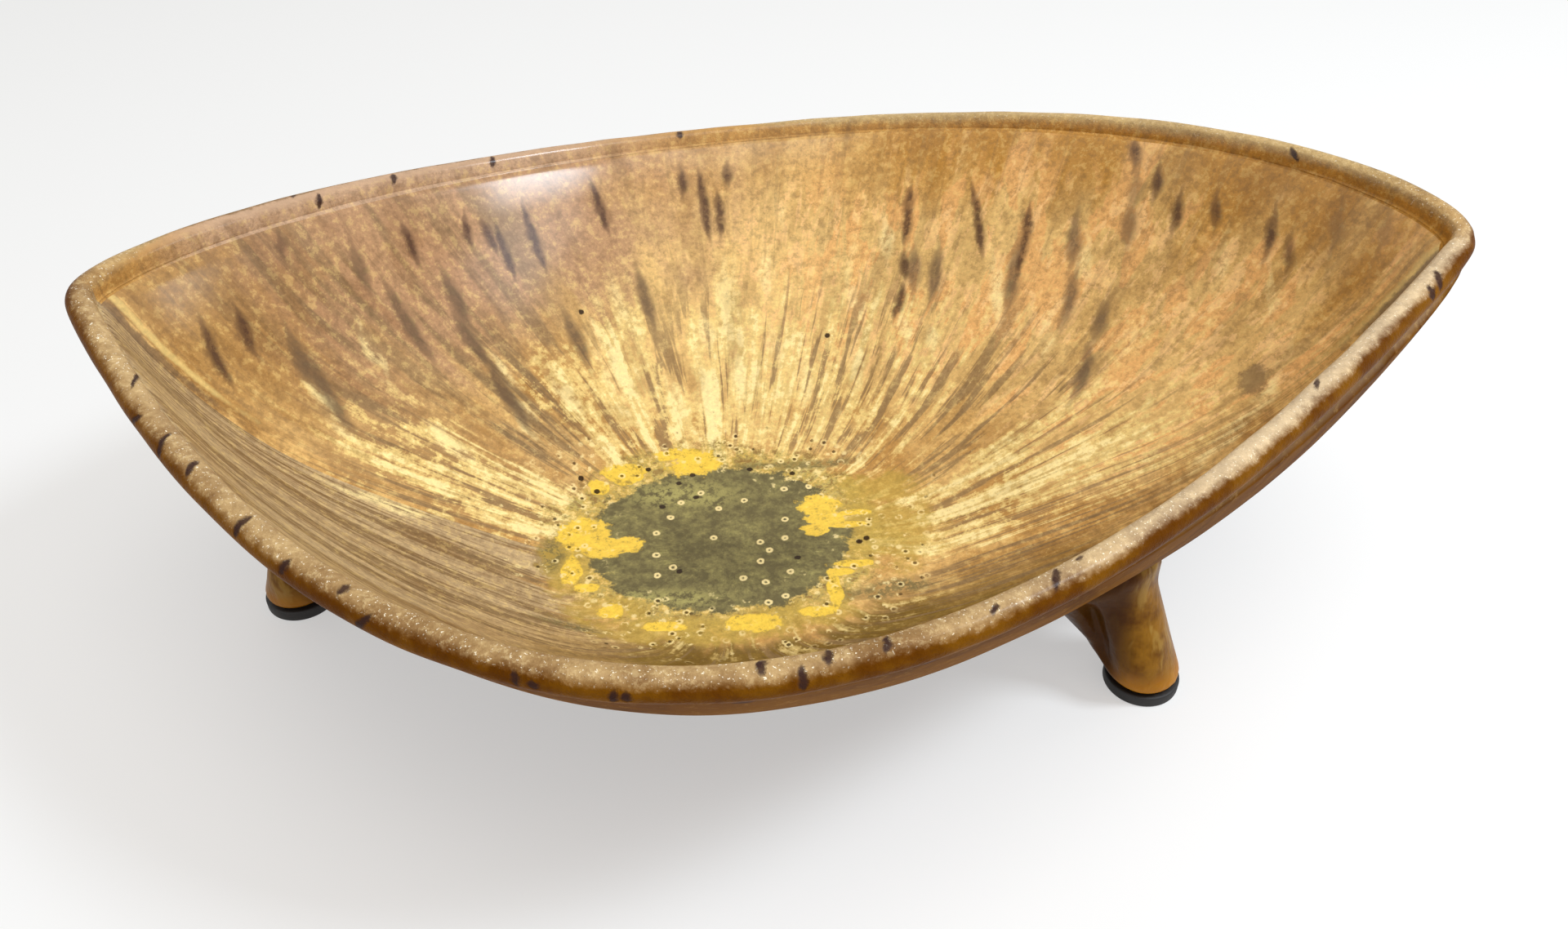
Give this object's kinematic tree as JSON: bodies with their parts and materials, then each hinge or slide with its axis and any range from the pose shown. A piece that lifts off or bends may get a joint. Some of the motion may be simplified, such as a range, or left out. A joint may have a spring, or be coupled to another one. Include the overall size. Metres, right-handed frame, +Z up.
{
  "type": "tripod bowl",
  "caption": "Leaf-shaped glazed ceramic bowl with a saddle rim and a rolled rim bead, on splayed webbed feet with a round stick-on pad under each foot.",
  "frame": {"origin": "on the table, under the middle of the bowl's own box", "axes": "+X along the long axis towards the higher, rounder tip, +Z up, -Y towards the front"},
  "size_m": [0.2982, 0.225, 0.1013],
  "materials": {
    "bowl_glaze": "satin golden-ochre glaze with runs and a pool in the well",
    "rim_glaze": "dry, speckled, paler where the glaze broke over the edge",
    "foot_glaze": "gloss amber glaze",
    "pad_rubber": "matt black"
  },
  "bodies": {
    "root": {"bowl_body": "bowl_glaze", "rim_bead": "rim_glaze", "foot_left_tip": "foot_glaze", "foot_right_front": "foot_glaze", "foot_right_back": "foot_glaze", "pad_left_tip": "pad_rubber", "pad_right_front": "pad_rubber", "pad_right_back": "pad_rubber"}
  },
  "joints": []
}
